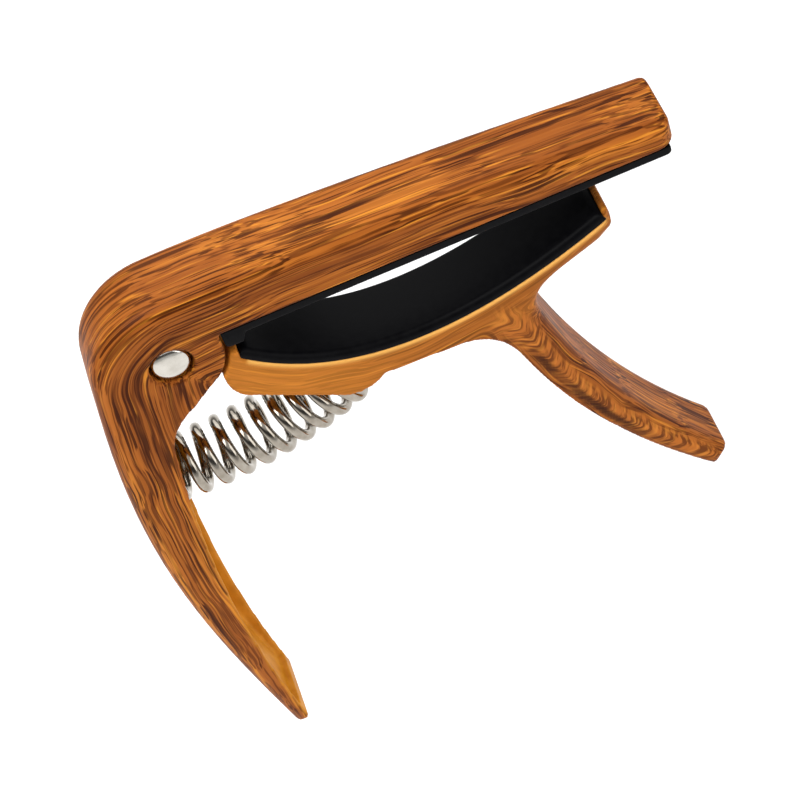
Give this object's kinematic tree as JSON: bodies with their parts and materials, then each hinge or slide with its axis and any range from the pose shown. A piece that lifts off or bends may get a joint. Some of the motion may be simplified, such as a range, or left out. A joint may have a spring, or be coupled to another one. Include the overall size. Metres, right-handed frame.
{
  "type": "guitar capo",
  "caption": "Trigger guitar capo: two cast arms that scissor on a pivot pin, a coil spring between them, and black silicone pads on the bar and the neck cradle.",
  "frame": {"origin": "on the flat face of the string pad that presses on the strings, half way along the pad and across it", "axes": "+X along the bar to its free end, +Z from the string face to the bar's outer side, Y along the pivot pin"},
  "size_m": [0.0838, 0.011, 0.096],
  "materials": {
    "wood_print": "satin-gloss wood-grain transfer print over a golden orange base coat, on cast zinc alloy",
    "pin_steel": "polished steel with faint turning marks",
    "spring_nickel": "bright nickel plate",
    "black_silicone": "satin moulded silicone"
  },
  "bodies": {
    "bar_body": {"upper_arm": "wood_print", "pivot_pin": "pin_steel", "string_pad": "black_silicone", "return_spring": "spring_nickel"},
    "jaw_body": {"lower_arm": "wood_print", "neck_pad": "black_silicone"}
  },
  "joints": [
    {"name": "jaw_hinge", "type": "hinge", "parent": "bar_body", "child": "jaw_body", "pos_m": [-0.038, 0, -0.00055], "axis": [0, 1, 0], "range_deg": [0, 20], "stiffness_Nm_per_rad": 9.8, "springref_deg": -9.57, "deforming": ["return_spring"]}
  ]
}
